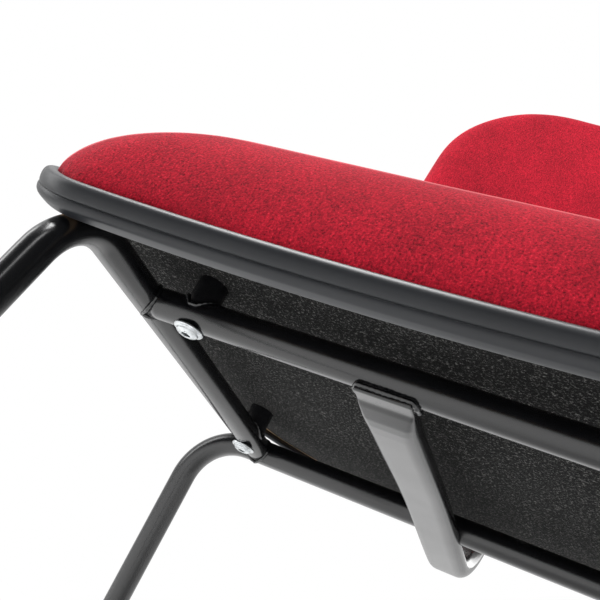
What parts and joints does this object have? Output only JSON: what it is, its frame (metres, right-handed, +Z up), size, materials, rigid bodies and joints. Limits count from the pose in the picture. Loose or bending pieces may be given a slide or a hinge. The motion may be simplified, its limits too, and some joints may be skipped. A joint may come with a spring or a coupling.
{
  "type": "musician's chair",
  "caption": "Padded four-leg stacking musician's chair: welded round-tube frame, bolted seat and backrest.",
  "frame": {"origin": "on the floor, under the centre of the chair's overall box", "axes": "+Z up, +X to the right of someone looking at the chair's front, -Y the way a sitter faces"},
  "size_m": [0.5478, 0.5673, 0.8874],
  "materials": {
    "frame_paint": "satin powder coat",
    "plywood": "satin",
    "underside_cloth": "matte felted",
    "foam": "matte",
    "red_fabric": "matte melange weave",
    "edge_rubber": "satin",
    "zinc": "bright zinc plate",
    "black_plastic": "matte",
    "rear_plastic": "fine-grained matte"
  },
  "bodies": {
    "root": {"left_front_leg_rail": "frame_paint", "right_front_leg_rail": "frame_paint", "front_cross_tube": "frame_paint", "rear_leg_frame": "frame_paint", "back_spine": "frame_paint", "back_bracket_plate": "frame_paint", "spine_end_plug": "black_plastic", "front_left_sleeve": "frame_paint", "front_right_sleeve": "frame_paint", "rear_left_sleeve": "frame_paint", "rear_right_sleeve": "frame_paint", "seat_board": "plywood", "seat_underside_cloth": "underside_cloth", "seat_foam": "foam", "seat_cover": "red_fabric", "seat_edge_band": "edge_rubber", "seat_bolts": "zinc", "seat_tee_nuts": "zinc", "back_board": "plywood", "back_rear_panel": "rear_plastic", "back_foam": "foam", "back_cover": "red_fabric", "back_edge_band": "edge_rubber", "back_bolts": "zinc", "back_tee_nuts": "zinc", "front_left_glide": "black_plastic", "front_right_glide": "black_plastic", "rear_left_glide": "black_plastic", "rear_right_glide": "black_plastic"}
  },
  "joints": []
}
